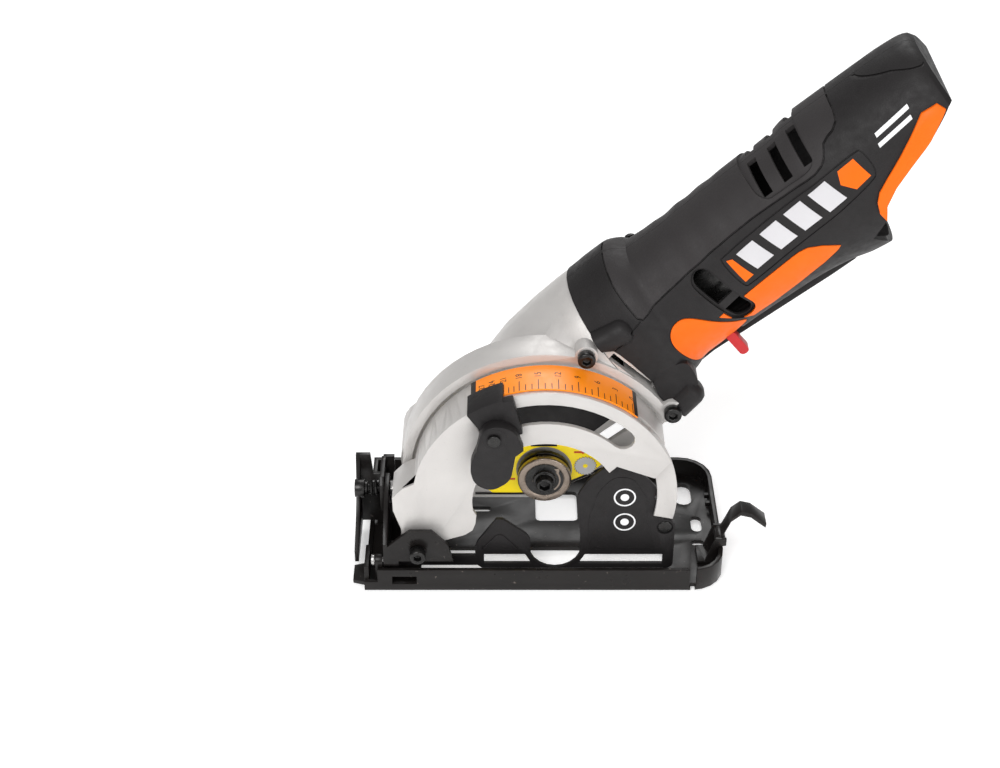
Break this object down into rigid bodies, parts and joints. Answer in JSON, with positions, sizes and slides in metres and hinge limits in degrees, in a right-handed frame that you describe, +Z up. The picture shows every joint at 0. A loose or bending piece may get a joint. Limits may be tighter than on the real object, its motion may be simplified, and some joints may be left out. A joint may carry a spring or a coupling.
{
  "type": "plunge circular saw",
  "caption": "Compact cordless plunge circular saw with a tilting sole, ring-shaped blade guard, depth stop, inclined barrel motor handle and long paddle trigger.",
  "frame": {"origin": "on the underside of the sole, straight below the spindle, with the saw raised", "axes": "+X towards the handle end, -Y towards the blade side, +Z up from the sole"},
  "size_m": [0.2445, 0.1025, 0.2375],
  "materials": {
    "black_steel": "glossy black paint on pressed steel",
    "dark_steel": "blackened steel",
    "bright_steel": "bright turned steel",
    "bronze": "sintered bronze",
    "flange_bronze": "bronze-grey turned steel",
    "cast_silver": "fine pebbled silver paint on cast aluminium",
    "black_plastic": "moulded black plastic with a fine grain",
    "handle_shell": "moulded black shell with a soft grip skin",
    "orange_plastic": "satin orange plastic",
    "red_plastic": "satin red plastic",
    "copper": "bright copper"
  },
  "bodies": {
    "base": {"base_plate": "black_steel", "front_bracket": "black_steel", "tilt_hinge": "black_steel", "tilt_pin": "bright_steel", "rear_lever_bracket": "black_steel", "bevel_screw": "dark_steel", "bevel_spring": "dark_steel", "bevel_nut": "bright_steel"},
    "rear_lever": {"rear_lever": "black_steel"},
    "frame": {"pivot_bracket": "black_steel", "guard_plate": "black_plastic", "guard_rivet": "dark_steel", "pivot_bolt": "dark_steel", "pivot_nut": "bright_steel"},
    "housing": {"guard_ring": "cast_silver", "pivot_bush": "bronze", "depth_scale": "orange_plastic", "gear_case": "cast_silver", "dust_outlet": "cast_silver", "case_screw_1": "dark_steel", "case_screw_2": "dark_steel", "spindle_bearing": "bright_steel", "handle_near": "handle_shell", "handle_far": "handle_shell", "battery_dock": "black_plastic", "battery_contact_1": "copper", "battery_contact_2": "copper", "battery_contact_3": "copper", "battery_contact_4": "copper", "battery_bumper": "orange_plastic", "trigger_pin": "bright_steel", "switch_block": "black_plastic", "shell_screw_1": "dark_steel", "shell_screw_2": "dark_steel", "motor_can": "dark_steel", "motor_end_bell": "copper"},
    "rotor": {"motor_shaft": "bright_steel", "motor_pinion": "dark_steel", "motor_fan": "black_plastic"},
    "lay": {"lay_shaft": "bright_steel", "lay_gear": "bright_steel", "face_gear": "dark_steel"},
    "output": {"spindle": "bright_steel", "spindle_gear": "bright_steel", "inner_flange": "dark_steel", "outer_flange": "flange_bronze", "blade_bolt": "dark_steel"},
    "depth_stop": {"depth_slider": "black_plastic", "depth_screw": "dark_steel"},
    "depth_lever": {"depth_lever": "black_plastic"},
    "rear_guard": {"rear_guard": "cast_silver"},
    "trigger": {"trigger": "black_plastic"},
    "lock_off": {"lock_off": "red_plastic"},
    "lock_button": {"lock_button": "black_plastic"}
  },
  "joints": [
    {"name": "bevel_tilt", "type": "hinge", "parent": "base", "child": "frame", "pos_m": [-0.07, -0.037, 0.0135], "axis": [1, 0, 0], "range_deg": [0, 45]},
    {"name": "rear_lever_hinge", "type": "hinge", "parent": "base", "child": "rear_lever", "pos_m": [0.0798, -0.0205, 0.014], "axis": [0, 1, 0], "range_deg": [0, 18]},
    {"name": "plunge", "type": "hinge", "parent": "frame", "child": "housing", "pos_m": [-0.0562, -0.025, 0.0205], "axis": [0, 1, 0], "range_deg": [0, 27.81], "stiffness_Nm_per_rad": 1, "springref_deg": -108.86},
    {"name": "rear_guard_slide", "type": "hinge", "parent": "housing", "child": "rear_guard", "pos_m": [0, -0.031, 0.0445], "axis": [0, 1, 0], "range_deg": [-33, 0]},
    {"name": "rotor_spin", "type": "hinge", "parent": "housing", "child": "rotor", "pos_m": [0.04189, 0.02, 0.10565], "axis": [0.766, 0, 0.6428], "continuous": true},
    {"name": "lay_spin", "type": "hinge", "parent": "housing", "child": "lay", "pos_m": [0.00117, 0.01, 0.07147], "axis": [0, 1, 0], "continuous": true},
    {"name": "spindle_spin", "type": "hinge", "parent": "housing", "child": "output", "pos_m": [0, 0, 0.0445], "axis": [0, 1, 0], "continuous": true},
    {"name": "depth_set", "type": "hinge", "parent": "housing", "child": "depth_stop", "pos_m": [0, -0.036, 0.0445], "axis": [0, 1, 0], "range_deg": [0, 58]},
    {"name": "depth_lever_turn", "type": "hinge", "parent": "depth_stop", "child": "depth_lever", "pos_m": [-0.02225, -0.04, 0.08635], "axis": [0, 1, 0], "range_deg": [0, 45]},
    {"name": "trigger_pull", "type": "hinge", "parent": "housing", "child": "trigger", "pos_m": [0.13203, 0.02, 0.14525], "axis": [0, 1, 0], "range_deg": [0, 3.4], "stiffness_Nm_per_rad": 3, "springref_deg": -5.73},
    {"name": "lock_off_slide", "type": "slide", "parent": "housing", "child": "lock_off", "axis": [0.766, 0, 0.6428], "range_m": [0, 0.003], "stiffness_N_per_m": 300, "springref_m": -0.002},
    {"name": "lock_button_press", "type": "slide", "parent": "housing", "child": "lock_button", "axis": [0, -1, 0], "range_m": [0, 0.0023], "stiffness_N_per_m": 400, "springref_m": -0.002}
  ],
  "couplings": [
    {"joint": "rear_guard_slide", "follows": "plunge", "ratio": -1.15},
    {"joint": "lay_spin", "follows": "rotor_spin", "ratio": 0.33333},
    {"joint": "spindle_spin", "follows": "rotor_spin", "ratio": -0.57576}
  ]
}
